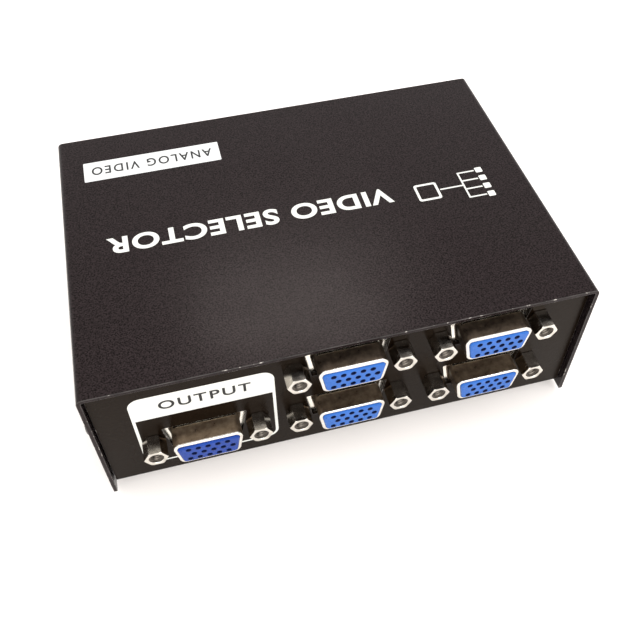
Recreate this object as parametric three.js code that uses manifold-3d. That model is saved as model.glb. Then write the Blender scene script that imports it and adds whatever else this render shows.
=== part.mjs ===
// A four-input selector box for analog video. A folded steel case holds two circuit boards, five 15-way
// ports on the rear panel and a bank of four interlocked push buttons on the front panel.
// Millimetres, +Z up, the front faces -Y. The origin is on the floor, midway between the outermost faces.
import * as THREE from "three";
import { mergeVertices } from "three/addons/utils/BufferGeometryUtils.js";
import Module from "manifold-3d";

const wasm = await Module();
wasm.setup();

// ---------------------------------------------------------------- driving dimensions
// Case
const coverWidth = 121;
const coverDepth = 86.6;
const coverHeight = 41.4;
const sheet = 1;
const coverBend = 1.5; // outside radius of the cover's two folds
const chassisBend = 1.3; // outside radius of the chassis's two folds
const coverLift = 1.6; // floor to the cover's lower edges
const overhang = 1.7; // the cover stands this far in front of each panel
const coverGap = 0.3; // between the cover and the chassis inside it
const seatGap = 0.1; // between pieces that rest on each other
const footHeight = 3.2;
const footRadius = 5.2;
const footInsetX = 12; // foot centre to the cover's side
const footInsetY = 11; // foot centre to the panel's face
const tabLength = 12; // the chassis's four side tabs, which take the cover screws
const tabFoot = 6; // chassis underside to the tab's lower edge
const tabHeight = 30;
const coverScrewInset = 6; // screw centre to the panel's face
const coverScrewHeight = 21.9;
const coverScrewHead = { radius: 2.8, height: 2 };

// Ports
const columnPitch = 34.8;
const columnOffset = 0.3; // X of the middle column
const lowerRow = 18.3; // height of the lower ports
const rowPitch = 16.9;
const slant = THREE.MathUtils.degToRad(10); // lean of the ports' two short sides
const shellWidth = 16.33;
const shellHeight = 7.9;
const shellCorner = 1.7;
const shellWall = 0.4;
const shellReach = 5.3; // tip of the shell to the panel's face
const flange = { width: 30.8, height: 12.5, thickness: 0.8, corner: 1 };
const rivet = { radius: 2.7, length: 2.5 }; // threaded bush behind each flange hole
const cutoutWidth = 20.2; // at its upper edge
const cutoutHeight = 8.6;
const insulatorGap = 0.15;
const insulatorProud = 0.4; // face of the insulator past the tip of the shell
const housing = { width: 18.8, depth: 9.4 }; // the insulator's block behind the flange
const contactPitch = 2.29;
const contactRowPitch = 1.98;
const contactAside = 0.265; // middle of the outer rows, to one side of the port's centre
const contactHole = { radius: 0.55, depth: 4 };
const jackPitch = 24.99;
const jackAcross = 5; // across the flats
const jackHeight = 4.9;
const jackHole = { radius: 1.45, depth: 4 };
const jackChamfer = 0.35;
const stud = { radius: 1.35, length: 5, hole: 1.65 };

// Circuit boards
const boardThickness = 1.6;
const mainBoard = { width: 112, front: -34, rear: 38.5, top: 11.9 };
const portBoard = { left: -54, right: 18, front: 20, rear: 38.5, top: 28.8 };
const headerPins = 14;
const headerPitch = 2.54;
const header = { x: -16, y: 24, depth: 2.5, lower: 2.5, upper: 8.5, pin: 0.64 };
const boardScrewHead = { radius: 2.7, height: 1.8 };
const screwShank = { radius: 1.3, length: 6, hole: 1.6 };
const standoffAcross = 5.5;
const frontScrew = { x: 49, y: -24 };
const rearScrew = { x: 53, y: 16 };

// Push buttons
const stationPitch = 20;
const stationCount = 4;
const buttonHeight = 20; // axis above the floor
const capReach = 7.5; // face of the cap to the panel's face
const cap = { width: 15, height: 8, length: 10.5, corner: 1.5, edge: 0.6, socket: 6 };
const windowGap = 0.5; // all round each cap, in the front panel
const travel = 4;
const latchTravel = 1.5;
const plunger = { width: 4, rear: -21.8, headWidth: 6.4, headLength: 5.6 };
const plungerGap = 0.3;
const notch = { depth: 0.8, width: 1 };
const bracket = { front: -30.3, halfLength: 40, roofDepth: 16, thickness: 1, height: 13.75, window: 5 };
const bracketFoot = { reach: 53, depth: 10.3, height: 5 };
const switchBody = { width: 13, height: 12.4, front: -27.8, length: 26 };
const latchBar = { halfLength: 38.8, front: -28.9, thickness: 0.8, bottom: 15, top: 24.4, tab: 3.4 };
const returnSpring = { radius: 3.4, wire: 0.25, turns: 5 };
const latchSpring = { radius: 1.2, wire: 0.18, turns: 5, y: -27.1, z: 17.2 };
const latchEar = { x: 44.2, depth: 4.3, height: 6.4 };

// Label on the cover
const label = { width: 36.7, depth: 7.6, thickness: 0.13, x: 35.6, y: -29, gap: 0.02 };

// ---------------------------------------------------------------- worked-out places
const coverTop = coverLift + coverHeight;
const panelFace = coverDepth / 2 - overhang; // Y of the rear panel's face; the front's is its negative
const chassisWidth = coverWidth - 2 * (sheet + coverGap);
const chassisTop = coverTop - sheet - coverGap;
const chassisBottom = footHeight + seatGap;
const chassisFloor = chassisBottom + sheet;
const upperRow = lowerRow + rowPitch;
const portFloor = flange.height / 2 - seatGap; // port centre to the housing's underside
const capRear = -panelFace - capReach + cap.length;
const bracketBottom = mainBoard.top + seatGap;
const bracketTop = bracketBottom + bracket.height;
const insulatorReach = shellReach + insulatorProud;
const originShift = (capReach - insulatorReach) / 2;

// ---------------------------------------------------------------- finishes
const finish = (color, roughness, metalness) =>
  new THREE.MeshStandardMaterial({ color, roughness, metalness });
const blackPaint = finish(0x2b2726, 0.62, 0.1);
const nickel = finish(0xc9c6bf, 0.22, 1);
const zinc = finish(0xb9bbbd, 0.38, 1);
const blueNylon = finish(0x1b5fd0, 0.45, 0);
const blackOxide = finish(0x1a1a1b, 0.45, 0.6);
const blackRubber = finish(0x161616, 0.9, 0);
const greenBoard = finish(0x1d5a34, 0.4, 0);
const blackPlastic = finish(0x1c1c1d, 0.5, 0);
const ivoryPlastic = finish(0xd8d2c0, 0.5, 0);
const springSteel = finish(0xa9a9a6, 0.3, 1);
const whiteVinyl = finish(0xf2f2ef, 0.55, 0);

// ---------------------------------------------------------------- solids
const point = (x, y) => new THREE.Vector2(x, y);

// The closed solid of a three.js geometry.
function solid(geometry) {
  const bare = geometry.clone();
  bare.deleteAttribute("normal");
  bare.deleteAttribute("uv");
  const merged = mergeVertices(bare);
  const vertProperties = merged.attributes.position.array;
  const triVerts = new Uint32Array(merged.index.array);
  return new wasm.Manifold(new wasm.Mesh({ numProp: 3, vertProperties, triVerts }));
}

// The three.js geometry of a closed solid.
function geometryOf(body) {
  const { vertProperties, triVerts } = body.getMesh();
  const geometry = new THREE.BufferGeometry();
  geometry.setAttribute("position", new THREE.BufferAttribute(vertProperties, 3));
  geometry.setIndex(new THREE.BufferAttribute(triVerts, 1));
  geometry.computeVertexNormals();
  return geometry;
}

// A block between two opposite corners.
function block(low, high) {
  const [width, depth, height] = high.map((value, i) => value - low[i]);
  const geometry = new THREE.BoxGeometry(width, depth, height);
  return solid(geometry.translate(...high.map((value, i) => (value + low[i]) / 2)));
}

function extruded(outline, depth, curveSegments) {
  return new THREE.ExtrudeGeometry(outline, { depth, bevelEnabled: false, curveSegments });
}

// Prisms along X (outline in Y, Z), along Y (outline in X, Z) and along Z (outline in X, Y).
function prismX(outline, from, to, curveSegments = 2) {
  const lying = extruded(outline, to - from, curveSegments).rotateX(Math.PI / 2);
  return solid(lying.rotateZ(Math.PI / 2).translate(from, 0, 0));
}

function prismY(outline, from, to, curveSegments = 2) {
  return solid(extruded(outline, to - from, curveSegments).rotateX(Math.PI / 2).translate(0, to, 0));
}

function prismZ(outline, from, to, curveSegments = 2) {
  return solid(extruded(outline, to - from, curveSegments).translate(0, 0, from));
}

// A solid of revolution. The profile is a list of [radius, height], from the bottom up.
function turned(profile, segments = 20) {
  return new THREE.LatheGeometry(profile.map(([radius, height]) => point(radius, height)), segments);
}

const turnedY = (profile, segments) => solid(turned(profile, segments));
const turnedZ = (profile, segments) => solid(turned(profile, segments).rotateX(Math.PI / 2));

// A closed outline through corners given anticlockwise, each rounded to the radius.
function outline(corners, radius = 0) {
  if (!radius) return new THREE.Shape(corners);
  const shape = new THREE.Shape();
  corners.forEach((corner, i) => {
    const arriving = corner.clone().sub(corners.at(i - 1)).normalize();
    const leaving = corners[(i + 1) % corners.length].clone().sub(corner).normalize();
    const turn = arriving.angleTo(leaving);
    const start = corner.clone().addScaledVector(arriving, -radius * Math.tan(turn / 2));
    const centre = start.clone().add(point(-arriving.y, arriving.x).multiplyScalar(radius));
    const from = Math.atan2(start.y - centre.y, start.x - centre.x);
    shape.absarc(centre.x, centre.y, radius, from, from + turn, false);
  });
  shape.closePath();
  return shape;
}

function rectangle(width, height, radius = 0, x = 0, y = 0) {
  const [right, top] = [width / 2, height / 2];
  const corners = [point(-right, -top), point(right, -top), point(right, top), point(-right, top)];
  return outline(corners.map((corner) => corner.add(point(x, y))), radius);
}

function polygon(sides, radius, x = 0, y = 0, turn = 0) {
  const angle = (i) => turn + (2 * Math.PI * i) / sides;
  const corner = (_, i) => point(x + radius * Math.cos(angle(i)), y + radius * Math.sin(angle(i)));
  return new THREE.Shape(Array.from({ length: sides }, corner));
}

// A trapezoid with its wide side up. The width is that of its sharp upper corners.
function trapezoid(width, height, radius = 0) {
  const upper = width / 2;
  const lower = upper - height * Math.tan(slant);
  const top = height / 2;
  const corners = [point(-lower, -top), point(lower, -top), point(upper, top), point(-upper, top)];
  return outline(corners, radius);
}

// The D of a port, over its rounded corners, taken in by an inset all round.
function portOutline(inset = 0) {
  const radius = shellCorner - inset;
  const cornerSpread = radius * ((1 + Math.sin(slant)) / Math.cos(slant) - 1);
  return trapezoid(shellWidth - 2 * inset + 2 * cornerSpread, shellHeight - 2 * inset, radius);
}

// A sheet folded into a channel that opens downwards, seen from its end.
function channel(width, height, bend) {
  const [half, inner, foldX, foldY] = [width / 2, bend - sheet, width / 2 - bend, height - bend];
  const shape = new THREE.Shape([point(-half, 0), point(-half, foldY)]);
  shape.absarc(-foldX, foldY, bend, Math.PI, Math.PI / 2, true);
  shape.absarc(foldX, foldY, bend, Math.PI / 2, 0, true);
  shape.lineTo(half, 0);
  shape.lineTo(half - sheet, 0);
  shape.absarc(foldX, foldY, inner, 0, Math.PI / 2, false);
  shape.absarc(-foldX, foldY, inner, Math.PI / 2, Math.PI, false);
  shape.lineTo(-half + sheet, 0);
  shape.closePath();
  return shape;
}

const unite = (bodies) => bodies.reduce((joined, body) => joined.add(body));
const both = (make) => [-1, 1].map(make);

// ---------------------------------------------------------------- layout
const portPlaces = [
  { name: "output", x: columnOffset + columnPitch, z: lowerRow },
  { name: "input_1", x: columnOffset, z: upperRow },
  { name: "input_2", x: columnOffset, z: lowerRow },
  { name: "input_3", x: columnOffset - columnPitch, z: upperRow },
  { name: "input_4", x: columnOffset - columnPitch, z: lowerRow },
];

const corners = both((x) => both((y) => [x, y])).flat();
const cornerName = ([x, y]) => (y < 0 ? "front" : "rear") + (x < 0 ? "_left" : "_right");
const stationX = (i) => (i - (stationCount - 1) / 2) * stationPitch;
const stations = Array.from({ length: stationCount }, (_, i) => stationX(i));
const boardScrewPlaces = corners.map(([x, y]) => {
  const place = y < 0 ? frontScrew : rearScrew;
  return { name: cornerName([x, y]), x: x * place.x, y: place.y, front: y < 0 };
});

// ---------------------------------------------------------------- case
function coverGeometry() {
  const shell = prismY(channel(coverWidth, coverHeight, coverBend), -coverDepth / 2, coverDepth / 2);
  const lifted = shell.translate(0, 0, coverLift);
  const holes = both((side) => {
    const hole = polygon(12, stud.hole, side * (panelFace - coverScrewInset), coverScrewHeight);
    return prismX(hole, -coverWidth, coverWidth);
  });
  return geometryOf(lifted.subtract(unite(holes)));
}

function portOpenings({ x, z }) {
  const opening = prismY(trapezoid(cutoutWidth, cutoutHeight), panelFace - 2 * sheet, panelFace + sheet);
  const studHoles = both((side) =>
    prismY(polygon(12, stud.hole, (side * jackPitch) / 2), panelFace - 2 * sheet, panelFace + sheet),
  );
  return unite([opening, ...studHoles]).translate(x, 0, z);
}

function buttonWindow(x) {
  const [width, height] = [cap.width + 2 * windowGap, cap.height + 2 * windowGap];
  const shape = rectangle(width, height, cap.corner, x, buttonHeight);
  return prismY(shape, -panelFace - sheet, -panelFace + 2 * sheet);
}

// A side tab folded back from a panel, with the threaded hole of a cover screw.
function sideTab([x, y]) {
  const outer = chassisWidth / 2;
  const reach = panelFace - tabLength;
  const low = [Math.min(x * outer, x * (outer - sheet)), Math.min(y * reach, y * panelFace)];
  const high = [Math.max(x * outer, x * (outer - sheet)), Math.max(y * reach, y * panelFace)];
  const tab = block([...low, chassisBottom + tabFoot], [...high, chassisBottom + tabFoot + tabHeight]);
  const hole = polygon(12, screwShank.hole, y * (panelFace - coverScrewInset), coverScrewHeight);
  return tab.subtract(prismX(hole, low[0] - sheet, high[0] + sheet));
}

// A hexagonal standoff clinched into the chassis floor, with its threaded hole.
function standoff({ x, y }) {
  const top = mainBoard.top - boardThickness - seatGap;
  const radius = standoffAcross / 2 / Math.cos(Math.PI / 6);
  const post = prismZ(polygon(6, radius, x, y), chassisFloor - sheet / 2, top);
  return post.subtract(prismZ(polygon(12, screwShank.hole, x, y), chassisFloor, top + sheet));
}

function chassisGeometry() {
  const height = chassisTop - chassisBottom;
  const folded = prismX(channel(2 * panelFace, height, chassisBend), -chassisWidth / 2, chassisWidth / 2);
  const upright = folded.rotate([180, 0, 0]).translate(0, 0, chassisTop);
  const openings = unite([...portPlaces.map(portOpenings), ...stations.map(buttonWindow)]);
  const pieces = [upright.subtract(openings), ...corners.map(sideTab), ...boardScrewPlaces.map(standoff)];
  return geometryOf(unite(pieces));
}

// A pan-head screw along +Z. The head stands on Z = 0 and has a cross recess.
function panScrewGeometry(head) {
  const { radius, height } = head;
  const shank = screwShank.radius;
  const tip = -screwShank.length;
  const profile = [[0, tip], [shank - 0.3, tip], [shank, tip + 0.4], [shank, 0], [radius, 0],
    [radius, height * 0.45], [radius * 0.8, height * 0.9], [radius * 0.45, height], [0, height]];
  const slot = { half: radius * 0.14, reach: radius * 0.55, depth: height * 0.55 };
  const recess = [[slot.half, slot.reach], [slot.reach, slot.half]].map(([x, y]) =>
    block([-x, -y, height - slot.depth], [x, y, height + 1]),
  );
  return geometryOf(turnedZ(profile, 14).subtract(unite(recess)));
}

function footGeometry() {
  const profile = [[0, 0], [footRadius - 1.1, 0], [footRadius - 0.6, 0.4],
    [footRadius - 0.2, footHeight - 0.5], [footRadius, footHeight], [0, footHeight]];
  return geometryOf(turnedZ(profile, 18));
}

// ---------------------------------------------------------------- ports, round each port's centre
function shellGeometry() {
  const front = -sheet - seatGap;
  const rear = front - flange.thickness;
  const plate = prismY(rectangle(flange.width, flange.height, flange.corner), rear, front);
  const tube = prismY(portOutline(), rear, shellReach);
  const round = (side, radius) => polygon(12, radius, (side * jackPitch) / 2);
  const bushes = both((side) => prismY(round(side, rivet.radius), rear - rivet.length, rear));
  const holes = both((side) => prismY(round(side, stud.hole), rear - 2 * rivet.length, shellReach));
  const bore = prismY(portOutline(shellWall), rear - sheet, shellReach + sheet);
  return geometryOf(unite([plate, tube, ...bushes]).subtract(unite([bore, ...holes])));
}

// The 15 holes stand in three rows of five. The middle row is half a pitch aside of the others.
function contactHoles(face) {
  const holes = [-1, 0, 1].flatMap((row) => {
    const aside = contactAside - (row === 0 ? contactPitch / 2 : 0);
    return [-2, -1, 0, 1, 2].map((column) => {
      const hole = polygon(6, contactHole.radius, column * contactPitch + aside, row * contactRowPitch);
      return prismY(hole, face - contactHole.depth, face + 1);
    });
  });
  return unite(holes);
}

function insulatorGeometry() {
  const flangeRear = -sheet - seatGap - flange.thickness;
  const nose = prismY(portOutline(shellWall + insulatorGap), flangeRear - sheet, insulatorReach);
  const half = housing.width / 2;
  const front = flangeRear - seatGap;
  const rear = block([-half, front - housing.depth, -portFloor], [half, front, portFloor - sheet]);
  return geometryOf(nose.add(rear).subtract(contactHoles(insulatorReach)));
}

// A hexagonal post with a threaded hole for the plug's thumbscrew, and a stud that holds the flange.
function jackscrewGeometry() {
  const cornerRadius = jackAcross / 2 / Math.cos(Math.PI / 6);
  const post = prismY(polygon(6, cornerRadius), seatGap, jackHeight);
  const chamfer = [[0, 0], [cornerRadius + 0.1, 0], [cornerRadius + 0.1, jackHeight - jackChamfer],
    [cornerRadius - jackChamfer, jackHeight], [0, jackHeight]];
  const head = post.intersect(turnedY(chamfer, 18));
  const shank = turnedY([[0, -stud.length], [stud.radius, -stud.length], [stud.radius, 1], [0, 1]], 12);
  const hole = prismY(polygon(12, jackHole.radius), jackHeight - jackHole.depth, jackHeight + 1);
  return geometryOf(head.add(shank).subtract(hole));
}

// ---------------------------------------------------------------- circuit boards
function mainBoardGeometry() {
  const half = mainBoard.width / 2;
  const bottom = mainBoard.top - boardThickness;
  const plate = block([-half, mainBoard.front, bottom], [half, mainBoard.rear, mainBoard.top]);
  const round = ({ x, y }) => polygon(12, screwShank.hole, x, y);
  const holes = boardScrewPlaces.map((screw) => prismZ(round(screw), bottom - 1, mainBoard.top + 1));
  return geometryOf(plate.subtract(unite(holes)));
}

function portBoardGeometry() {
  const { left, right, front, rear, top } = portBoard;
  return geometryOf(block([left, front, top - boardThickness], [right, rear, top]));
}

// Two plastic strips joined by a row of pins.
function headerGeometry() {
  const half = (headerPins * headerPitch) / 2;
  const bottom = mainBoard.top + seatGap;
  const top = portBoard.top - boardThickness - seatGap;
  const strip = (from, to) => block([-half, -header.depth / 2, from], [half, header.depth / 2, to]);
  const pinHalf = header.pin / 2;
  const pin = (_, i) => {
    const x = (i - (headerPins - 1) / 2) * headerPitch;
    return block([x - pinHalf, -pinHalf, bottom + 1], [x + pinHalf, pinHalf, top - 1]);
  };
  const pins = Array.from({ length: headerPins }, pin);
  const linked = unite([strip(bottom, bottom + header.lower), strip(top - header.upper, top), ...pins]);
  return geometryOf(linked.translate(header.x, header.y, 0));
}

// ---------------------------------------------------------------- push buttons, round each button's axis
// The cap is closed at its front and has a square socket at its rear.
function capGeometry() {
  const { width, height, length, corner, edge } = cap;
  const options = { depth: length - 2 * edge, curveSegments: 2, bevelEnabled: true, bevelThickness: edge,
    bevelSize: edge, bevelOffset: -edge, bevelSegments: 2 };
  const bar = new THREE.ExtrudeGeometry(rectangle(width, height, corner), options);
  const body = solid(bar.rotateX(Math.PI / 2).translate(0, capRear - edge, 0));
  const half = plunger.width / 2 + seatGap;
  const socket = block([-half, capRear - cap.socket, -half], [half, capRear + 1, half]);
  return geometryOf(body.subtract(socket));
}

// A square bar with a wide head inside the switch body, and the notch where the latch bar drops in.
function plungerGeometry() {
  const half = plunger.width / 2;
  const front = capRear - cap.socket + seatGap;
  const shaft = block([-half, front, -half], [half, plunger.rear, half]);
  const head = block([-plunger.headWidth / 2, plunger.rear - plunger.headLength, -half],
    [plunger.headWidth / 2, plunger.rear, half]);
  const notchFront = latchBar.front - travel - (notch.width - latchBar.thickness) / 2;
  const notchRear = notchFront + notch.width;
  const cut = block([half - notch.depth, notchFront, -half - 1], [half + 1, notchRear, half + 1]);
  return geometryOf(shaft.add(head).subtract(cut));
}

function switchBodyGeometry() {
  const half = switchBody.width / 2;
  const bottom = mainBoard.top + 2 * seatGap - buttonHeight;
  const rear = switchBody.front + switchBody.length;
  const body = block([-half, switchBody.front, bottom], [half, rear, bottom + switchBody.height]);
  const boreHalf = plunger.headWidth / 2 + plungerGap;
  const boreRear = plunger.rear + travel + plungerGap;
  const boreTop = plunger.width / 2 + plungerGap;
  const bore = block([-boreHalf, switchBody.front - 1, -boreTop], [boreHalf, boreRear, boreTop]);
  return geometryOf(body.subtract(bore));
}

// An angle strip with a window for each plunger, a foot at each end and an ear for the latch spring.
function bracketGeometry() {
  const { front, halfLength, roofDepth, thickness, window } = bracket;
  const [rear, top, bottom] = [front + thickness, bracketTop, bracketBottom];
  const wall = block([-halfLength, front, bottom], [halfLength, rear, top]);
  const roof = block([-halfLength, front, top - thickness], [halfLength, front + roofDepth, top]);
  const ends = both((side) => {
    const [near, far] = [side * (halfLength - 1), side * bracketFoot.reach].sort((a, b) => a - b);
    const upright = block([near, front, bottom], [far, rear, bottom + bracketFoot.height]);
    const foot = block([near, front, bottom], [far, front + bracketFoot.depth, bottom + thickness]);
    return upright.add(foot);
  });
  const ear = block([latchEar.x, front, bottom],
    [latchEar.x + thickness, rear + latchEar.depth, bottom + thickness + latchEar.height]);
  const windows = stations.map((x) =>
    prismY(rectangle(window, window, 0, x, buttonHeight), front - 1, rear + 1),
  );
  const screwHoles = both((side) =>
    prismZ(polygon(12, screwShank.hole, side * frontScrew.x, frontScrew.y), bottom - 1, bottom + 3),
  );
  return geometryOf(unite([wall, roof, ...ends, ear]).subtract(unite([...windows, ...screwHoles])));
}

// A flat bar with a long window round each plunger, and a tab that the latch spring pushes.
function latchBarGeometry() {
  const { halfLength, front, thickness, bottom, top, tab } = latchBar;
  const strip = block([-halfLength, front, bottom], [halfLength, front + thickness, top]);
  const seat = block([halfLength - thickness, front, bottom], [halfLength, front + tab, bottom + 4]);
  const near = plunger.width / 2 + plungerGap;
  const clear = near + plungerGap;
  const [low, high] = [buttonHeight - clear, buttonHeight + clear];
  const windows = stations.map((x) =>
    block([x - near - latchTravel, front - 1, low], [x + near, front + 2, high]),
  );
  return geometryOf(strip.add(seat).subtract(unite(windows)));
}

// A coil round the Y axis.
class Coil extends THREE.Curve {
  constructor(radius, from, to, turns) {
    super();
    Object.assign(this, { radius, from, to, turns });
  }

  getPoint(t, target = new THREE.Vector3()) {
    const angle = 2 * Math.PI * this.turns * t;
    const y = THREE.MathUtils.lerp(this.from, this.to, t);
    return target.set(this.radius * Math.cos(angle), y, this.radius * Math.sin(angle));
  }
}

// A spring between two faces that it just clears.
function coilGeometry({ radius, wire, turns }, from, to) {
  const clear = seatGap + wire;
  const path = new Coil(radius, from + clear, to - clear, turns);
  const options = { steps: turns * 9, bevelEnabled: false, extrudePath: path };
  return geometryOf(solid(new THREE.ExtrudeGeometry(polygon(4, wire), options)));
}

function labelGeometry() {
  const bottom = coverTop + label.gap;
  return geometryOf(prismZ(rectangle(label.width, label.depth, 0.3), bottom, bottom + label.thickness));
}

// ---------------------------------------------------------------- assembly
const selectorBox = new THREE.Group();
selectorBox.position.y = originShift;

function place(parent, name, geometry, material, x = 0, y = 0, z = 0) {
  const mesh = new THREE.Mesh(geometry, material);
  mesh.name = name;
  mesh.position.set(x, y, z);
  parent.add(mesh);
  return mesh;
}

function addCase() {
  place(selectorBox, "cover", coverGeometry(), blackPaint);
  place(selectorBox, "base_chassis", chassisGeometry(), blackPaint);
  place(selectorBox, "top_label", labelGeometry(), whiteVinyl, label.x, label.y);
  const foot = footGeometry();
  const footX = coverWidth / 2 - footInsetX;
  const footY = panelFace - footInsetY;
  const screw = panScrewGeometry(coverScrewHead);
  const screwX = coverWidth / 2 + seatGap;
  const screwY = panelFace - coverScrewInset;
  corners.forEach(([x, y]) => {
    const name = cornerName([x, y]);
    place(selectorBox, `foot_${name}`, foot, blackRubber, x * footX, y * footY, 0);
    const mesh = place(selectorBox, `cover_screw_${name}`, screw, blackOxide, x * screwX, y * screwY);
    mesh.position.z = coverScrewHeight;
    mesh.rotation.y = (x * Math.PI) / 2;
  });
}

function addPorts() {
  const shell = shellGeometry();
  const insulator = insulatorGeometry();
  const jackscrew = jackscrewGeometry();
  portPlaces.forEach(({ name, x, z }) => {
    const port = new THREE.Group();
    port.position.set(x, panelFace, z);
    selectorBox.add(port);
    place(port, `vga_shell_${name}`, shell, nickel);
    place(port, `vga_insulator_${name}`, insulator, blueNylon);
    place(port, `jackscrew_${name}_left`, jackscrew, nickel, -jackPitch / 2);
    place(port, `jackscrew_${name}_right`, jackscrew, nickel, jackPitch / 2);
  });
}

function addBoards() {
  place(selectorBox, "main_board", mainBoardGeometry(), greenBoard);
  place(selectorBox, "port_board", portBoardGeometry(), greenBoard);
  place(selectorBox, "header_link", headerGeometry(), blackPlastic);
  const screw = panScrewGeometry(boardScrewHead);
  boardScrewPlaces.forEach(({ name, x, y, front }) => {
    const seat = front ? bracketBottom + bracket.thickness : mainBoard.top;
    place(selectorBox, `board_screw_${name}`, screw, zinc, x, y, seat + seatGap);
  });
}

function addButtons() {
  const pieces = [
    ["switch_body", switchBodyGeometry(), blackPlastic],
    ["plunger", plungerGeometry(), ivoryPlastic],
    ["button_cap", capGeometry(), blackPlastic],
    ["return_spring", coilGeometry(returnSpring, capRear, bracket.front), springSteel],
  ];
  stations.forEach((x, i) => {
    const station = new THREE.Group();
    station.position.set(x, 0, buttonHeight);
    selectorBox.add(station);
    pieces.forEach(([name, geometry, material]) => place(station, `${name}_${i + 1}`, geometry, material));
  });
  place(selectorBox, "switch_bracket", bracketGeometry(), zinc);
  place(selectorBox, "latch_bar", latchBarGeometry(), zinc);
  const coil = coilGeometry(latchSpring, 0, latchEar.x - latchBar.halfLength);
  const spring = place(selectorBox, "latch_spring", coil, springSteel, latchBar.halfLength);
  spring.position.setComponent(1, latchSpring.y).setComponent(2, latchSpring.z);
  spring.rotation.z = -Math.PI / 2;
}

addCase();
addPorts();
addBoards();
addButtons();

export default selectorBox;
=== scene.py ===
import math

import bmesh
import bpy
from mathutils import Matrix, Quaternion, Vector


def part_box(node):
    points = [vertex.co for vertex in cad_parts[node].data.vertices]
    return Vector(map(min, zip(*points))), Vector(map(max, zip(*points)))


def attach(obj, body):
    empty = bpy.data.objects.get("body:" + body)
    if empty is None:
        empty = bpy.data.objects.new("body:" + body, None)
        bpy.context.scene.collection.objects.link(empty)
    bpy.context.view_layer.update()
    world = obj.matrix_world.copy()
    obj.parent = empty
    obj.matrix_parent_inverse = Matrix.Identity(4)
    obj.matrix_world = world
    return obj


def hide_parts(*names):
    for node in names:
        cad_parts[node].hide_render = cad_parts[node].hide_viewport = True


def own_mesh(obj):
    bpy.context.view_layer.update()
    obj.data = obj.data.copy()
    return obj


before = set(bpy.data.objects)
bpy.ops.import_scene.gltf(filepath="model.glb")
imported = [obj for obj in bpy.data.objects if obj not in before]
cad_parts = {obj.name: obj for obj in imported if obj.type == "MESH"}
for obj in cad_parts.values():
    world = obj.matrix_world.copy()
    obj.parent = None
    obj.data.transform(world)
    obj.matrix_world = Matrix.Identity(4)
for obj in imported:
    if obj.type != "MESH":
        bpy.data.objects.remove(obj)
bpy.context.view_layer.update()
scene = bpy.context.scene

# The looks of a video switch box with one output port, four input ports and four push buttons.
# Mesh code works in millimetres, in the frame's own axes: the front faces -Y and +Z is up.
MM = 0.001

# ---------------------------------------------------------------- driving dimensions
SHEET = 1.0
COVER_BEND, COVER_ROUND = 1.5, 0.16
CHASSIS_BEND, CHASSIS_ROUND = 1.3, 0.1
TAB = {"length": 12, "inset": 0.4, "foot": 6, "height": 30}
STANDOFF = {"radius": 3.17, "gap": 0.1}
TAPPED_HOLE = {"radius": 1.5, "depth": 6}
SLANT = math.radians(10)
SHELL = {"width": 16.33, "height": 7.9, "corner": 1.7, "wall": 0.4, "lip": 0.78, "reach": 5.3}
FLANGE = {"width": 30.8, "height": 12.5, "corner": 1.0, "front": -1.1, "rear": -1.9}
HOUSING = {"half_width": 9.4, "depth": 9.4}
CUTOUT = {"width": 20.2, "height": 8.6, "corner": 0.35}
STUD_HOLE = 1.65
JACK_PITCH = 24.99
JACK_THREAD = 0.635
SCREW_THREAD = 0.7
CONTACT = {"pitch": 2.29, "row": 1.98, "aside": 0.265, "radius": 0.58, "depth": 3.6}
INK = 0.03
BUTTON_WINDOW = {"gap": 0.5, "corner": 1.5}

# The turn from 0 to a right angle, in the steps that small rounds take.
QUARTER = [math.pi / 2 * i / 6 for i in range(7)]

PORTS = ("output", "input_1", "input_2", "input_3", "input_4")
UPPER_PORTS = ("input_1", "input_3")
CORNERS = ("front_left", "front_right", "rear_left", "rear_right")
STATIONS = (1, 2, 3, 4)


def box(node):
    """Lowest and highest corner of a CAD node, in millimetres."""
    low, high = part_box(node)
    return low / MM, high / MM


def middle(node):
    low, high = box(node)
    return (low + high) / 2


cover_low, cover_high = box("cover")
panel_low, panel_high = box("base_chassis")
COVER_TOP = cover_high.z
REAR_FACE = panel_high.y
FRONT_FACE = panel_low.y


# ---------------------------------------------------------------- camera
def make_camera():
    """Looks down at the rear panel from behind and above, a little from its +X side."""
    azimuth = math.radians(165.99)
    elevation = math.radians(49.31)
    roll = math.radians(-0.6)
    aim = Vector((-2.9, 4.1, 18.6)) * MM
    distance = 221.4 * MM
    level = math.cos(elevation)
    back = Vector((math.sin(azimuth) * level, -math.cos(azimuth) * level, math.sin(elevation)))
    data = bpy.data.cameras.new("camera")
    data.sensor_width = 36
    data.lens = 44.97
    data.shift_y = -0.0625
    data.clip_start = 0.01
    camera = bpy.data.objects.new("camera", data)
    camera.rotation_mode = "QUATERNION"
    camera.location = aim + back * distance
    camera.rotation_quaternion = (-back).to_track_quat("-Z", "Y") @ Quaternion((0, 0, 1), roll)
    scene.collection.objects.link(camera)
    scene.camera = camera


make_camera()


# ---------------------------------------------------------------- outlines, as lists of (u, v)
def turn_points(centre, radius, start, sweep, steps):
    """Points along an arc, with both its ends."""
    angles = [start + sweep * i / steps for i in range(steps + 1)]
    return [(centre[0] + radius * math.cos(a), centre[1] + radius * math.sin(a)) for a in angles]


def circle(radius, steps=32, u=0, v=0):
    return turn_points((u, v), radius, 0, 2 * math.pi, steps)[:-1]


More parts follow.
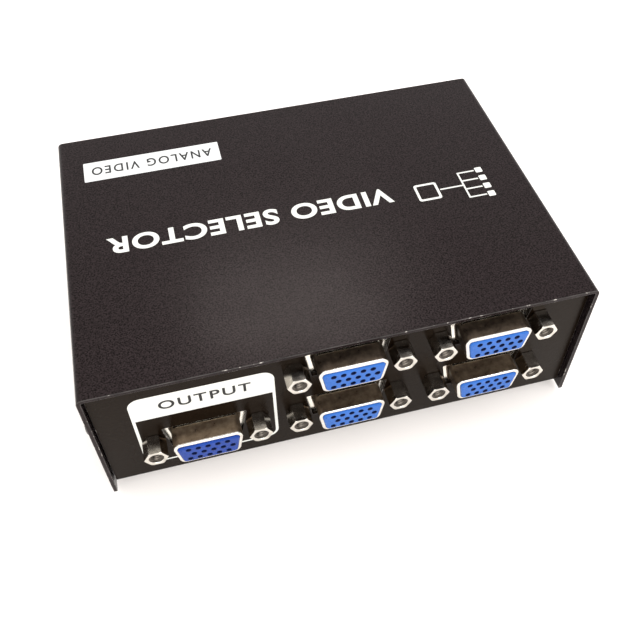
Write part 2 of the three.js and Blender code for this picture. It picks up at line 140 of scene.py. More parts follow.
def rounded(corners, radius, inset=0.0, steps=6):
    """An outline through anticlockwise corners, rounded to the radius and then taken in by the inset."""
    points = []
    for i, corner in enumerate(corners):
        here = Vector(corner)
        arriving = (here - Vector(corners[i - 1])).normalized()
        leaving = (Vector(corners[(i + 1) % len(corners)]) - here).normalized()
        sweep = arriving.angle(leaving)
        centre = here + (leaving - arriving).normalized() * (radius / math.cos(sweep / 2))
        start = math.atan2(-arriving.x, arriving.y)
        points += turn_points(centre, radius - inset, start, sweep, steps)
    return points


def rectangle(width, height, radius, inset=0.0, u=0, v=0):
    right, top = width / 2, height / 2
    corners = [(u - right, v - top), (u + right, v - top), (u + right, v + top), (u - right, v + top)]
    return rounded(corners, radius, inset)


def trapezoid(width, height, radius, inset=0.0, steps=6):
    """Wide side up. The width is that of its sharp upper corners."""
    upper, top = width / 2, height / 2
    lower = upper - height * math.tan(SLANT)
    return rounded([(-lower, -top), (lower, -top), (upper, top), (-upper, top)], radius, inset, steps)


def port_outline(inset):
    """The D of a port, taken in by an inset all round."""
    corner = SHELL["corner"]
    spread = corner * ((1 + math.sin(SLANT)) / math.cos(SLANT) - 1)
    return trapezoid(SHELL["width"] + 2 * spread, SHELL["height"], corner, inset, 8)


def channel(low, high, base, top, bend):
    """A folded sheet that opens towards the base, which may lie above or below the top."""
    up = 1 if top > base else -1
    fold, steps = top - up * bend, 8
    quarter = up * math.pi / 2
    outer = [(low, base)]
    outer += turn_points((low + bend, fold), bend, math.pi, -quarter, steps)
    outer += turn_points((high - bend, fold), bend, quarter, -quarter, steps)
    inner = [(high - SHEET, base)]
    inner += turn_points((high - bend, fold), bend - SHEET, 0, quarter, steps)
    inner += turn_points((low + bend, fold), bend - SHEET, quarter, quarter, steps)
    return outer + [(high, base)] + inner + [(low + SHEET, base)]


# ---------------------------------------------------------------- meshes
LIFTS = {"X": lambda u, v, w: (w, u, v), "Y": lambda u, v, w: (u, w, v), "Z": lambda u, v, w: (u, v, w)}


def lifted(outline, height, axis):
    """The outline as points in space, at a height along an axis."""
    return [LIFTS[axis](u, v, height) for u, v in outline]


class Skin:
    """A closed surface of walls between rings of points and flat lids over them."""

    def __init__(self):
        self.bm = bmesh.new()

    def ring(self, points):
        return [self.bm.verts.new(point) for point in points]

    def wall(self, *rings):
        for lower, upper in zip(rings, rings[1:]):
            for i in range(len(lower)):
                self.bm.faces.new((lower[i - 1], lower[i], upper[i], upper[i - 1]))

    def lid(self, *rings):
        """A flat lid over the first ring, with the others as its holes."""
        if len(rings) == 1:
            self.bm.faces.new(rings[0])
            return
        pairs = [(ring[i - 1], ring[i]) for ring in rings for i in range(len(ring))]
        edges = [self.bm.edges.get(pair) or self.bm.edges.new(pair) for pair in pairs]
        bmesh.ops.triangle_fill(self.bm, use_beauty=True, use_dissolve=False, edges=edges)

    def mesh(self):
        bmesh.ops.remove_doubles(self.bm, verts=self.bm.verts, dist=1e-4)
        bmesh.ops.recalc_face_normals(self.bm, faces=self.bm.faces)
        mesh = bpy.data.meshes.new("skin")
        self.bm.to_mesh(mesh)
        self.bm.free()
        return mesh


def prism(outline, low, high, axis, holes=()):
    """The outline along an axis, with other outlines as holes through it."""
    skin = Skin()
    ends = []
    for height in (low, high):
        ends.append([skin.ring(lifted(shape, height, axis)) for shape in (outline, *holes)])
    for lower, upper in zip(*ends):
        skin.wall(lower, upper)
    for rings in ends:
        skin.lid(*rings)
    return skin.mesh()


def loft(rings, closed=False):
    """A wall over rings of points, closed by flat lids or by joining the last ring to the first."""
    skin = Skin()
    made = [skin.ring(points) for points in rings]
    skin.wall(*made)
    if closed:
        skin.wall(made[-1], made[0])
    else:
        skin.lid(made[0])
        skin.lid(made[-1])
    return skin.mesh()


def lathe(profile, axis="Y", steps=40, closed=False):
    """A profile of (radius, height) turned round an axis."""
    return loft([lifted(circle(radius, steps), height, axis) for radius, height in profile], closed)


def block(low, high):
    outline = [(low[0], low[1]), (high[0], low[1]), (high[0], high[1]), (low[0], high[1])]
    return prism(outline, low[2], high[2], "Z")


def moved(mesh, x=0.0, y=0.0, z=0.0, turn=None):
    """The mesh itself, turned by a matrix and then shifted."""
    if turn:
        mesh.transform(turn)
    mesh.transform(Matrix.Translation((x, y, z)))
    return mesh


def joined(meshes):
    """Several meshes as one."""
    bm = bmesh.new()
    for mesh in meshes:
        bm.from_mesh(mesh)
    together = bpy.data.meshes.new("joined")
    bm.to_mesh(together)
    bm.free()
    return together


def modified(mesh, kind, **settings):
    """The mesh as one modifier leaves it."""
    holder = bpy.data.objects.new("holder", mesh)
    scene.collection.objects.link(holder)
    modifier = holder.modifiers.new(kind, kind)
    for key, value in settings.items():
        setattr(modifier, key, value)
    graph = bpy.context.evaluated_depsgraph_get()
    result = bpy.data.meshes.new_from_object(holder.evaluated_get(graph))
    bpy.data.objects.remove(holder)
    return result


def combined(mesh, tools, operation):
    tool = bpy.data.objects.new("tool", joined(tools))
    scene.collection.objects.link(tool)
    result = modified(mesh, "BOOLEAN", object=tool, operation=operation, solver="EXACT")
    bpy.data.objects.remove(tool)
    return result


def cut(mesh, tools):
    return combined(mesh, tools, "DIFFERENCE")


def softened(mesh, width, segments=2, angle=30, edge_material=-1):
    """The mesh with its sharp edges rounded. The rounds can take a material of their own."""
    while len(mesh.materials) <= edge_material:
        mesh.materials.append(None)
    return modified(mesh, "BEVEL", width=width, segments=segments, limit_method="ANGLE",
                    angle_limit=math.radians(angle), use_clamp_overlap=False, material=edge_material)


def finished(mesh, *materials):
    """The mesh in metres, smooth but for its sharp edges, with its materials in their order."""
    mesh.shade_smooth()
    mesh.set_sharp_from_angle(angle=math.radians(40))
    done = modified(mesh, "WEIGHTED_NORMAL", keep_sharp=True)
    done.transform(Matrix.Scale(MM, 4))
    while len(done.materials) < len(materials):
        done.materials.append(None)
    for i, material in enumerate(materials):
        done.materials[i] = material
    return done


def repainted(mesh, before, after, chosen):
    """Changes one material's number for another's on the faces whose centres are chosen."""
    for polygon in mesh.polygons:
        if polygon.material_index == before and chosen(polygon.center):
            polygon.material_index = after
    return mesh


def piece(name, mesh, body="case", node=None, at=(0, 0, 0), turn=None):
    """A piece of the object. It rides on a body, and stands for a CAD node where one is named."""
    made = bpy.data.objects.new(name, mesh)
    scene.collection.objects.link(made)
    made.location = Vector(at) * MM
    if turn:
        made.rotation_euler = turn
    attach(made, body)
    if node:
        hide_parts(node)
    return made


# ---------------------------------------------------------------- materials
class Surface:
    """A procedural material, on coordinates in metres that stay with its piece."""

    def __init__(self, name, sockets):
        self.material = bpy.data.materials.new(name)
        self.material.use_nodes = True
        tree = self.material.node_tree
        self.nodes, self.links = tree.nodes, tree.links
        self.shader = self.nodes["Principled BSDF"]
        for socket, value in sockets.items():
            self.shader.inputs[socket].default_value = value
        self.coordinates = self.nodes.new("ShaderNodeTexCoord").outputs["Object"]
        self.normal = None

    def stretched(self, scale):
        mapping = self.nodes.new("ShaderNodeMapping")
        mapping.inputs["Scale"].default_value = scale
        self.links.new(self.coordinates, mapping.inputs["Vector"])
        return mapping.outputs["Vector"]

    def noise(self, scale, detail=3.0, stretch=None, rough=0.5):
        node = self.nodes.new("ShaderNodeTexNoise")
        node.inputs["Scale"].default_value = scale
        node.inputs["Detail"].default_value = detail
        node.inputs["Roughness"].default_value = rough
        source = self.stretched(stretch) if stretch else self.coordinates
        self.links.new(source, node.inputs["Vector"])
        return node.outputs[0]

    def ramp(self, factor, stops):
        """Colours along a factor, from (place, grey or colour) stops."""
        node = self.nodes.new("ShaderNodeValToRGB")
        elements = node.color_ramp.elements
        while len(elements) < len(stops):
            elements.new(0.5)
        for element, (place, colour) in zip(elements, stops):
            element.position = place
            element.color = (*colour, 1) if isinstance(colour, tuple) else (colour, colour, colour, 1)
        self.links.new(factor, node.inputs[0])
        return node.outputs[0]

    def mixed(self, factor, first, second):
        """Two colours, each a colour or a socket, mixed by a factor."""
        node = self.nodes.new("ShaderNodeMix")
        node.data_type = "RGBA"
        self.links.new(factor, node.inputs[0])
        for socket, value in ((node.inputs[6], first), (node.inputs[7], second)):
            if isinstance(value, tuple):
                socket.default_value = (*value, 1)
            else:
                self.links.new(value, socket)
        return node.outputs[2]

    def span(self, factor, low, high, start=0.3, end=0.7):
        """A number that runs from low to high as the factor goes from start to end."""
        node = self.nodes.new("ShaderNodeMapRange")
        for socket, value in zip(node.inputs[1:5], (start, end, low, high)):
            socket.default_value = value
        self.links.new(factor, node.inputs[0])
        return node.outputs[0]

    def bump(self, height, depth):
        """Adds relief, with its depth in millimetres."""
        node = self.nodes.new("ShaderNodeBump")
        node.inputs["Distance"].default_value = depth * MM
        self.links.new(height, node.inputs["Height"])
        if self.normal:
            self.links.new(self.normal, node.inputs["Normal"])
        self.normal = node.outputs[0]
        self.links.new(self.normal, self.shader.inputs["Normal"])

    def set(self, socket, source):
        self.links.new(source, self.shader.inputs[socket])


def black_paint(name, grain, depth, roughness, gloss, tint, dark, light):
    """Black powder coat: a fine orange peel that is darker in its pits, a painted shade, with a little dust
    on it.
    """
    paint = Surface(name, {"Specular IOR Level": gloss, "Specular Tint": tint})
    cloud = paint.noise(45, 3)
    peel = paint.noise(grain, 3, rough=0.6)
    # The pits of the peel take the dark colour and its crests the light one, a painted shade.
    tone = paint.ramp(peel, [(0.36, dark), (0.62, light)])
    dusty = paint.ramp(paint.noise(1400, 4, rough=0.7), [(0.68, 0.0), (0.82, 0.6)])
    paint.set("Base Color", paint.mixed(dusty, tone, (0.045, 0.040, 0.039)))
    paint.set("Roughness", paint.span(cloud, roughness - 0.03, roughness + 0.04))
    paint.bump(paint.noise(grain * 0.4, 2), depth)
    paint.bump(peel, depth)
    return paint.material


def paint_edge(name):
    """The same coat on a sheet's edges, in a lighter tone that is a painted highlight, and rubbed through in
    places.
    """
    paint = Surface(name, {"Specular IOR Level": 0.22})
    wear = paint.noise(620, 5, rough=0.65)
    worn = paint.ramp(wear, [(0.585, 0.0), (0.66, 1.0)])
    # The edge's tone is lighter than the flat coat's, a painted highlight along the edge.
    tone = paint.ramp(paint.noise(160), [(0.35, (0.010, 0.008, 0.0075)), (0.7, (0.055, 0.048, 0.045))])
    paint.set("Base Color", paint.mixed(worn, tone, (0.40, 0.37, 0.34)))
    paint.set("Metallic", paint.span(worn, 0.0, 0.7, 0.0, 1.0))
    paint.set("Roughness", paint.span(wear, 0.55, 0.32))
    paint.bump(wear, 0.02)
    return paint.material


def plated(name, dark, light, roughness, scale=260, brush=None, metallic=1.0):
    """Plated metal, with soft stains and a fine grain that may run one way."""
    metal = Surface(name, {"Metallic": metallic})
    stain = metal.noise(scale, 4)
    grain = metal.noise(5200, 2, stretch=brush)
    metal.set("Base Color", metal.ramp(stain, [(0.3, dark), (0.7, light)]))
    metal.set("Roughness", metal.span(stain, roughness[0], roughness[1]))
    metal.bump(grain, 0.004)
    return metal.material


def moulded(name, dark, light, roughness, grain=2600, depth=0.006, **more):
    """Moulded plastic or rubber, with a faint flow tone and a fine spark-eroded grain. More sockets can be
    set by name, with an underscore for each space."""
    sockets = {"Specular IOR Level": 0.5}
    sockets.update({key.replace("_", " "): value for key, value in more.items()})
    plastic = Surface(name, sockets)
    flow = plastic.noise(210, 3)
    plastic.set("Base Color", plastic.ramp(flow, [(0.3, dark), (0.7, light)]))
    plastic.set("Roughness", plastic.span(flow, roughness[0], roughness[1]))
    plastic.bump(plastic.noise(grain, 3), depth)
    return plastic.material


def printed(name, ink, worn):
    """Screen ink, with a thin mottled film and tiny pinholes."""
    film = Surface(name, {"Specular IOR Level": 0.4})
    mottle = film.noise(900, 4)
    holes = film.ramp(film.noise(2100, 3, rough=0.6), [(0.24, 1.0), (0.31, 0.0)])
    tone = film.ramp(mottle, [(0.3, tuple(0.93 * c for c in ink)), (0.65, ink)])
    film.set("Base Color", film.mixed(holes, tone, worn))
    film.set("Roughness", film.span(mottle, 0.42, 0.58))
    film.bump(mottle, 0.006)
    return film.material


def circuit_board(name):
    """Green solder mask over straight copper tracks, with a fine grain."""
    board = Surface(name, {"Coat Weight": 0.25, "Coat Roughness": 0.2})
    tracks = board.nodes.new("ShaderNodeTexBrick")
    tracks.offset = 0.37
    settings = {"Scale": 160, "Mortar Size": 0.09, "Brick Width": 1.7, "Row Height": 0.42, "Bias": 0.0}
    for socket, value in settings.items():
        tracks.inputs[socket].default_value = value
    board.links.new(board.coordinates, tracks.inputs["Vector"])
    mask = board.ramp(board.noise(300), [(0.3, (0.006, 0.060, 0.022)), (0.7, (0.010, 0.085, 0.034))])
    track = tracks.outputs["Fac"]
    board.set("Base Color", board.mixed(track, mask, (0.022, 0.155, 0.050)))
    board.set("Roughness", board.span(board.noise(700), 0.3, 0.42))
    board.bump(track, 0.035)
    board.bump(board.noise(2600, 2), 0.004)
    return board.material


def pale_floor(name):
    """A smooth pale table top."""
    floor = Surface(name, {"Specular IOR Level": 0.35})
    cloud = floor.noise(6, 3)
    floor.set("Base Color", floor.ramp(cloud, [(0.3, (0.93, 0.885, 0.855)), (0.7, (0.95, 0.91, 0.88))]))
    floor.set("Roughness", floor.span(cloud, 0.28, 0.34))
    return floor.material


COVER_PAINT = black_paint("cover_powder_coat", grain=2600, depth=0.0105, roughness=0.21, gloss=0.09,
                          tint=(1, 0.86, 0.8, 1), dark=(0.0005, 0.0001, 0.0001),
                          light=(0.0205, 0.0142, 0.0152))
PANEL_PAINT = black_paint("panel_powder_coat", grain=2800, depth=0.022, roughness=0.27, gloss=0.065,
                          tint=(1, 0.79, 0.6, 1), dark=(0.0020, 0.0010, 0.0005),
                          light=(0.0080, 0.0045, 0.0024))
EDGE_PAINT_AND_HIGHLIGHT = paint_edge("rubbed_paint_edge_highlight")
NICKEL = plated("bright_nickel", (0.66, 0.63, 0.58), (0.84, 0.81, 0.76), (0.1, 0.2))
DRAWN = {"roughness": (0.26, 0.42), "scale": 640, "brush": (1, 0.6, 1), "metallic": 0.8}
# The tube's nickel is a darker copy of the nickel, a painted shade and dark reflection; the upper tubes'
# copy below it is darker still, a deeper painted shade.
TUBE_SHADE_NICKEL = plated("tube_nickel_painted_shade", (0.11, 0.076, 0.050), (0.235, 0.172, 0.115), **DRAWN)
SHADED_NICKEL = plated("shaded_nickel", (0.040, 0.028, 0.020), (0.102, 0.075, 0.053), **DRAWN)
# A brighter copy of the nickel, a painted highlight on the flange and the top of each port's foot.
HIGHLIGHT_NICKEL = plated("nickel_painted_highlight", (0.86, 0.83, 0.74), (0.96, 0.93, 0.85), (0.16, 0.28))
BARE_EDGE = plated("bare_cut_edge", (0.42, 0.39, 0.34), (0.80, 0.77, 0.70), (0.2, 0.4), 900)
END_NICKEL = plated("jackscrew_end_nickel", (0.50, 0.47, 0.42), (0.74, 0.71, 0.65), (0.14, 0.26), 420)
# A darker copy of the jackscrew nickel for the post's sides, a painted shade.
JACK_SIDE_SHADE = plated("jackscrew_side_painted_shade", (0.26, 0.23, 0.20), (0.50, 0.46, 0.41), (0.14, 0.28), 420)
# A dark copy of the steel for the inside of the jackscrew's hole, a painted shade.
THREAD_SHADE = plated("thread_painted_shade", (0.020, 0.017, 0.015), (0.15, 0.13, 0.11), (0.25, 0.45), 900)
ZINC = plated("zinc_plate", (0.42, 0.44, 0.47), (0.62, 0.63, 0.63), (0.26, 0.42), 300, (1, 12, 1))
SPRING_STEEL = plated("spring_wire", (0.40, 0.40, 0.39), (0.58, 0.57, 0.55), (0.22, 0.34), 500)
GOLD = plated("gold_flash", (0.62, 0.38, 0.11), (0.90, 0.62, 0.24), (0.2, 0.32), 900)
BLACK_OXIDE = plated("black_oxide", (0.035, 0.034, 0.036), (0.085, 0.082, 0.080), (0.3, 0.46), 600)
NYLON = {"roughness": (0.24, 0.36), "Specular_IOR_Level": 0.25, "Specular_Tint": (0.62, 0.78, 1, 1)}
BLUE = moulded("blue_nylon", (0.014, 0.086, 0.33), (0.022, 0.108, 0.40), **NYLON)
# A darker copy of the same blue nylon for the output's nose, a painted shade.
SHADED_COPY_BLUE = moulded("blue_nylon_painted_shade", (0.0008, 0.024, 0.185), (0.002, 0.034, 0.24), **NYLON)
HOLE_BLUE = moulded("shaded_blue_nylon", (0.001, 0.006, 0.045), (0.002, 0.010, 0.07), (0.4, 0.5))
RUBBER = moulded("black_rubber", (0.010, 0.010, 0.010), (0.022, 0.021, 0.020), (0.62, 0.8), 1500, 0.02)
SWITCH_PLASTIC = moulded("switch_plastic", (0.012, 0.012, 0.013), (0.026, 0.026, 0.027), (0.36, 0.5))
CAP_PLASTIC = moulded("cap_plastic", (0.011, 0.011, 0.012), (0.018, 0.018, 0.019), (0.3, 0.4), 3200, 0.008)
IVORY = moulded("ivory_plastic", (0.56, 0.51, 0.38), (0.68, 0.63, 0.49), (0.36, 0.48))
VINYL = moulded("white_vinyl", (0.60, 0.60, 0.59), (0.65, 0.65, 0.64), (0.32, 0.42), 1800, 0.004)
WHITE_INK = printed("white_ink", (0.65, 0.65, 0.61), (0.30, 0.29, 0.28))
BLACK_INK = printed("black_ink", (0.004, 0.004, 0.005), (0.05, 0.05, 0.05))
BOARD = circuit_board("solder_mask")


# ---------------------------------------------------------------- case
def make_cover():
    """The folded sheet of the top and both sides, with a hole for each cover screw."""
    outline = channel(cover_low.x, cover_high.x, cover_low.z, cover_high.z, COVER_BEND)
    body = prism(outline, cover_low.y, cover_high.y, "Y")
    holes = []
    for corner in CORNERS:
        screw = middle(f"cover_screw_{corner}")
        face = math.copysign(cover_high.x, screw.x)
        ends = face - 3 * SHEET, face + 3 * SHEET
        holes.append(prism(circle(STUD_HOLE, 24, screw.y, screw.z), *ends, "X"))
    body = softened(cut(body, holes), COVER_ROUND, 3, edge_material=1)
    piece("cover_sheet", finished(body, COVER_PAINT, EDGE_PAINT_AND_HIGHLIGHT), "case", "cover")


def port_openings(x, z):
    """The D cutout of one port and its two stud holes."""
    low, high = REAR_FACE - 2 * SHEET, REAR_FACE + SHEET
    outlines = [trapezoid(CUTOUT["width"], CUTOUT["height"], CUTOUT["corner"], steps=4)]
    outlines += [circle(STUD_HOLE, 24, side * JACK_PITCH / 2) for side in (-1, 1)]
    return [moved(prism(outline, low, high, "Y"), x=x, z=z) for outline in outlines]


def make_chassis():
    """The folded sheet of the floor and both panels, with its tabs, standoffs and every opening."""
    low, high = panel_low, panel_high
    body = prism(channel(low.y, high.y, high.z, low.z, CHASSIS_BEND), low.x, high.x, "X")
    board_base = box("main_board")[0].z - STANDOFF["gap"]
    ports = [middle(f"vga_shell_{port}") for port in PORTS]
    extras, cuts = [], []
    for side in (-1, 1):
        for end, face in ((-1, low.y), (1, high.y)):
            near = sorted((side * high.x, side * (high.x - SHEET)))
            deep = sorted((face - end * TAB["inset"], face - end * TAB["length"]))
            foot = low.z + TAB["foot"]
            extras.append(block((near[0], deep[0], foot), (near[1], deep[1], foot + TAB["height"])))
    for corner in CORNERS:
        stand = middle(f"board_screw_{corner}")
        post = circle(STANDOFF["radius"], 6, stand.x, stand.y)
        extras.append(prism(post, low.z + SHEET / 2, board_base, "Z"))
        tapped = circle(TAPPED_HOLE["radius"], 16, stand.x, stand.y)
        cuts.append(prism(tapped, low.z + SHEET, board_base + SHEET, "Z"))
        screw = middle(f"cover_screw_{corner}")
        reach = sorted((screw.x, screw.x - math.copysign(TAPPED_HOLE["depth"], screw.x)))
        cuts.append(prism(circle(TAPPED_HOLE["radius"], 16, screw.y, screw.z), *reach, "X"))
    for port in ports:
        cuts += port_openings(port.x, port.z)
    for station in STATIONS:
        cap_low, cap_high = box(f"button_cap_{station}")
        size = cap_high - cap_low
        centre = (cap_low + cap_high) / 2
        width, height = (length + 2 * BUTTON_WINDOW["gap"] for length in (size.x, size.z))
        window = rectangle(width, height, BUTTON_WINDOW["corner"], 0, centre.x, centre.z)
        cuts.append(prism(window, low.y - SHEET, low.y + 2 * SHEET, "Y"))
    body = cut(combined(body, extras, "UNION"), cuts)
    body = softened(body, CHASSIS_ROUND, 2, edge_material=1)
    half_width, half_height = CUTOUT["width"] / 2, CUTOUT["height"] / 2

    def over_port(centre):
        """The round at the top of a port's cutout, where the shell has rubbed it bare."""
        return centre.y > REAR_FACE - 0.09 and any(
            abs(centre.x - port.x) < half_width and abs(centre.z - port.z - half_height) < 0.15
            for port in ports)

    body = repainted(body, 1, 2, over_port)
    mesh = finished(body, PANEL_PAINT, EDGE_PAINT_AND_HIGHLIGHT, BARE_EDGE)
    piece("chassis_sheet", mesh, "case", "base_chassis")


def cross_recess(radius, depth, top):
    """A tapered cross that a screwdriver fits, standing down from the top along Z."""
    arms = []
    for turn in (0, math.pi / 2):
        rings = []
        for height, share in ((top - depth, 0.45), (top + 0.5, 1.15)):
            long, short = radius * share, radius * 0.22 * (0.6 + 0.4 * share)
            corners = [(-long, -short), (long, -short), (long, short), (-long, short)]
            spin = Matrix.Rotation(turn, 3, "Z")
            rings.append([spin @ Vector((u, v, height)) for u, v in corners])
        arms.append(loft(rings))
    return arms


def thread(inner, outer, low, high, pitch):
    """A profile that runs up in ridges between two radii."""
    count = max(1, round((high - low) / pitch))
    step = (high - low) / count
    profile = []
    for i in range(count):
        profile += [(inner, low + i * step), (outer, low + (i + 0.5) * step)]
    return profile + [(inner, high)]


def pan_screw(radius, height, length, material):
    """A pan-head screw along Z. Its head stands on Z = 0."""
    root, crest = 1.05, 1.3
    crown = radius * 0.92
    dome = [(crown * math.cos(a) ** 0.7, height * (0.5 + 0.5 * math.sin(a)))
            for a in (math.radians(d) for d in range(8, 90, 8))]
    profile = [(0, -length), (0.9, -length)] + thread(root, crest, 0.4 - length, -0.3, SCREW_THREAD)
    profile += [(crest, 0), (radius - 0.1, 0), (radius, 0.12), (radius, height * 0.35), *dome, (0, height)]
    screw = lathe(profile, "Z", 44)
    for arm in cross_recess(radius * 0.62, height * 0.62, height):
        screw = cut(screw, [arm])
    return finished(softened(screw, 0.05, 1, 50), material)


def make_cover_screws():
    low, high = box("cover_screw_rear_right")
    seat = cover_high.x + 0.1
    mesh = pan_screw((high.z - low.z) / 2, high.x - seat, seat - low.x, BLACK_OXIDE)
    for corner in CORNERS:
        node = f"cover_screw_{corner}"
        centre = middle(node)
        side = math.copysign(1, centre.x)
        at = (side * seat, centre.y, centre.z)
        turn = (0, side * math.pi / 2, 0)
        piece(f"case_screw_{corner}", mesh, "case", node, at, turn)


def make_feet():
    """Soft round bumpers with a shallow hollow underneath."""
    low, high = box("foot_rear_left")
    radius, height = (high.x - low.x) / 2, high.z - low.z
    edge, taper, hollow = 0.75, 0.4, 0.35
    profile = [(0, hollow), (radius * 0.5, hollow - 0.05), (radius * 0.62, 0)]
    profile += turn_points((radius - edge - taper, edge), edge, -math.pi / 2, math.radians(84), 8)
    profile += [(radius - 0.08, height - 0.5), (radius, height - 0.2), (radius, height), (0, height)]
    mesh = finished(lathe(profile, "Z", 56), RUBBER)
    for corner in CORNERS:
        node = f"foot_{corner}"
        centre = middle(node)
        piece(f"bumper_{corner}", mesh, "case", node, (centre.x, centre.y, 0))


# ---------------------------------------------------------------- printing
def lettering(text, height, width=None, spacing=1.0, weight=0.0):
    """Flat letters round the origin, one ink film thick along Z. A width stretches them."""
    curve = bpy.data.curves.new("letters", "FONT")
    curve.body = text
    curve.space_character = spacing
    curve.offset = weight
    # The depth is scaled to the ink film below, so any depth does here.
    curve.extrude = 0.5
    curve.resolution_u = 8
    holder = bpy.data.objects.new("letters", curve)
    scene.collection.objects.link(holder)
    graph = bpy.context.evaluated_depsgraph_get()
    mesh = bpy.data.meshes.new_from_object(holder.evaluated_get(graph))
    bpy.data.objects.remove(holder)
    bm = bmesh.new()
    bm.from_mesh(mesh)
    bmesh.ops.remove_doubles(bm, verts=bm.verts, dist=1e-5)
    bmesh.ops.recalc_face_normals(bm, faces=bm.faces)
    bm.to_mesh(mesh)
    bm.free()
    corners = [Vector(v.co) for v in mesh.vertices]
    low = Vector(map(min, *corners))
    high = Vector(map(max, *corners))
    size = high - low
    mesh.transform(Matrix.Translation(-(low + high) / 2))
    scale = height / size.y
    mesh.transform(Matrix.Diagonal((width / size.x if width else scale, scale, INK / size.z, 1)))
    return mesh


# Ink on the rear panel reads from behind, and ink on the front panel reads from in front.
ON_REAR = Matrix.Rotation(math.pi, 4, "Z") @ Matrix.Rotation(math.pi / 2, 4, "X")
ON_FRONT = Matrix.Rotation(math.pi / 2, 4, "X")


def make_title():
    """Generic wording along the middle of the cover."""
    x, y = 13.5, 0.8
    letters = lettering("VIDEO SELECTOR", height=5.6, width=73.4, spacing=1.1, weight=0.03)
    piece("title_print", finished(moved(letters, x, y, COVER_TOP + INK * 0.4), WHITE_INK))


def make_pictogram():
    """Four small sources joined to one large screen, left of the title."""
    low, high = COVER_TOP - INK * 0.1, COVER_TOP + INK * 0.9
    left, right, base, top = -49.5, -29.5, -3.4, 7.9
    small, large, rim, line, rail = 1.9, 6.2, 0.65, 0.45, -42.6
    air, hair = 0.35, 0.02
    centre = (base + top) / 2
    rows = [base + small / 2 + i * (top - base - small) / 3 for i in range(4)]
    shapes = []
    for row in rows:
        shapes.append(prism(rectangle(small, small, 0.3, 0, left + small / 2, row), low, high, "Z"))
        start, end = left + small + air, rail - line / 2 - hair
        shapes.append(block((start, row - line / 2, low), (end, row + line / 2, high)))
    half = line / 2
    shapes.append(block((rail - half, rows[0] - half, low), (rail + half, rows[-1] + half, high)))
    screen = right - large - air
    shapes.append(block((rail + half + hair, centre - half, low), (screen, centre + half, high)))
    glass = large - 2 * rim
    screen_outline = rectangle(large, large, 0.7, 0, right - large / 2, centre)
    opening = rectangle(glass, glass, 0.4, 0, right - large / 2, centre)
    shapes.append(prism(screen_outline, low, high, "Z", [opening]))
    piece("pictogram_print", finished(joined(shapes), WHITE_INK))


def make_label():
    """The sticker near the cover's front edge, with its wording."""
    low, high = box("top_label")
    centre = (low + high) / 2
    size = high - low
    top, margin = high.z - INK, 2.1
    outline = rectangle(size.x, size.y, 0.25, 0, centre.x, centre.y)
    sticker = softened(prism(outline, low.z, top, "Z"), 0.02, 2)
    piece("label_sticker", finished(sticker, VINYL), "case", "top_label")
    width = size.x - 2 * margin
    letters = lettering("ANALOG VIDEO", height=3.2, width=width, spacing=1.25, weight=0.016)
    piece("label_print", finished(moved(letters, centre.x, centre.y, top + INK * 0.45), BLACK_INK))


def make_port_frame():
    """A white line round the output port, with a filled band above it that names it."""
    centre = middle("vga_shell_output")
    low, high = Vector((17.7, 8.5)), Vector((51.0, 36.65))
    band, side, bottom, corner, bend = 28.0, 0.7, 0.5, 3.0, 2.4
    outer = rounded([low, (high.x, low.y), high, (low.x, high.y)], corner, 0, 10)
    left, right, floor = low.x + side, high.x - side, low.y + bottom
    inner = turn_points((left + bend, floor + bend), bend, math.pi, math.pi / 2, 10)
    inner += turn_points((right - bend, floor + bend), bend, -math.pi / 2, math.pi / 2, 10)
    inner += [(right, band), (left, band)]
    mesh = prism(outer, REAR_FACE - INK * 0.1, REAR_FACE + INK * 0.9, "Y", [inner])
    piece("port_frame_print", finished(mesh, WHITE_INK))
    letters = lettering("OUTPUT", height=3.3, width=21.2, spacing=1.2, weight=0.018)
    x, z = centre.x - 1.3, 32.5
    letters = moved(moved(letters, turn=ON_REAR), x, REAR_FACE + INK * 1.3, z)
    piece("port_name_print", finished(letters, BLACK_INK))


def make_numbers():
    """Digits over the push buttons."""
    rise = 5
    for station in STATIONS:
        low, high = box(f"button_cap_{station}")
        digit = moved(lettering(str(station), height=3.4, weight=0.01), turn=ON_FRONT)
        mesh = moved(digit, (low.x + high.x) / 2, FRONT_FACE - INK * 0.4, high.z + rise)
        piece(f"number_print_{station}", finished(mesh, WHITE_INK))


